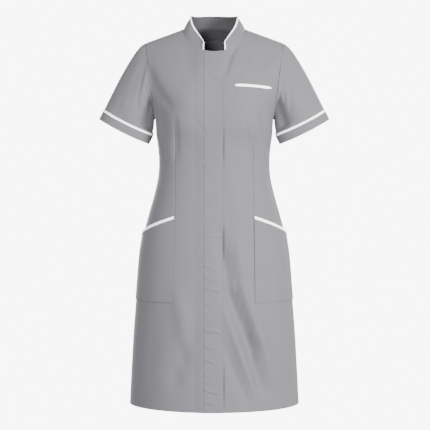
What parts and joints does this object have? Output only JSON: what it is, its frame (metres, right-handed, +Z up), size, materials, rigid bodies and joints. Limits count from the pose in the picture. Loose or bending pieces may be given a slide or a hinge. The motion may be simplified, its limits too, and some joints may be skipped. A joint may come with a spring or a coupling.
{
  "type": "housekeeping dress",
  "caption": "Hollow short-sleeved work dress with a stand collar, fly front, white piping, chest welt and slanted hip pockets.",
  "frame": {"origin": "on the centre line, level with the side neck points, where the wearer's shoulders hold the dress up", "axes": "+Z up, the front faces -Y, +X towards the wearer's left"},
  "size_m": [0.6144, 0.3147, 1.0394],
  "materials": {
    "grey_cloth": "matt twill",
    "white_trim": "matt plain weave"
  },
  "bodies": {
    "root": {"front_right": "grey_cloth", "front_left": "grey_cloth", "back_right": "grey_cloth", "back_left": "grey_cloth", "placket": "grey_cloth", "button_stand": "grey_cloth", "sleeve_right": "grey_cloth", "sleeve_left": "grey_cloth", "sleeve_piping_right": "white_trim", "sleeve_piping_left": "white_trim", "cuff_right": "grey_cloth", "cuff_left": "grey_cloth", "collar": "grey_cloth", "collar_piping": "white_trim", "back_neck_facing": "grey_cloth", "chest_pocket_welt": "white_trim", "hip_pocket_right": "grey_cloth", "hip_pocket_left": "grey_cloth", "hip_pocket_trim_right": "white_trim", "hip_pocket_trim_left": "white_trim"}
  },
  "joints": []
}
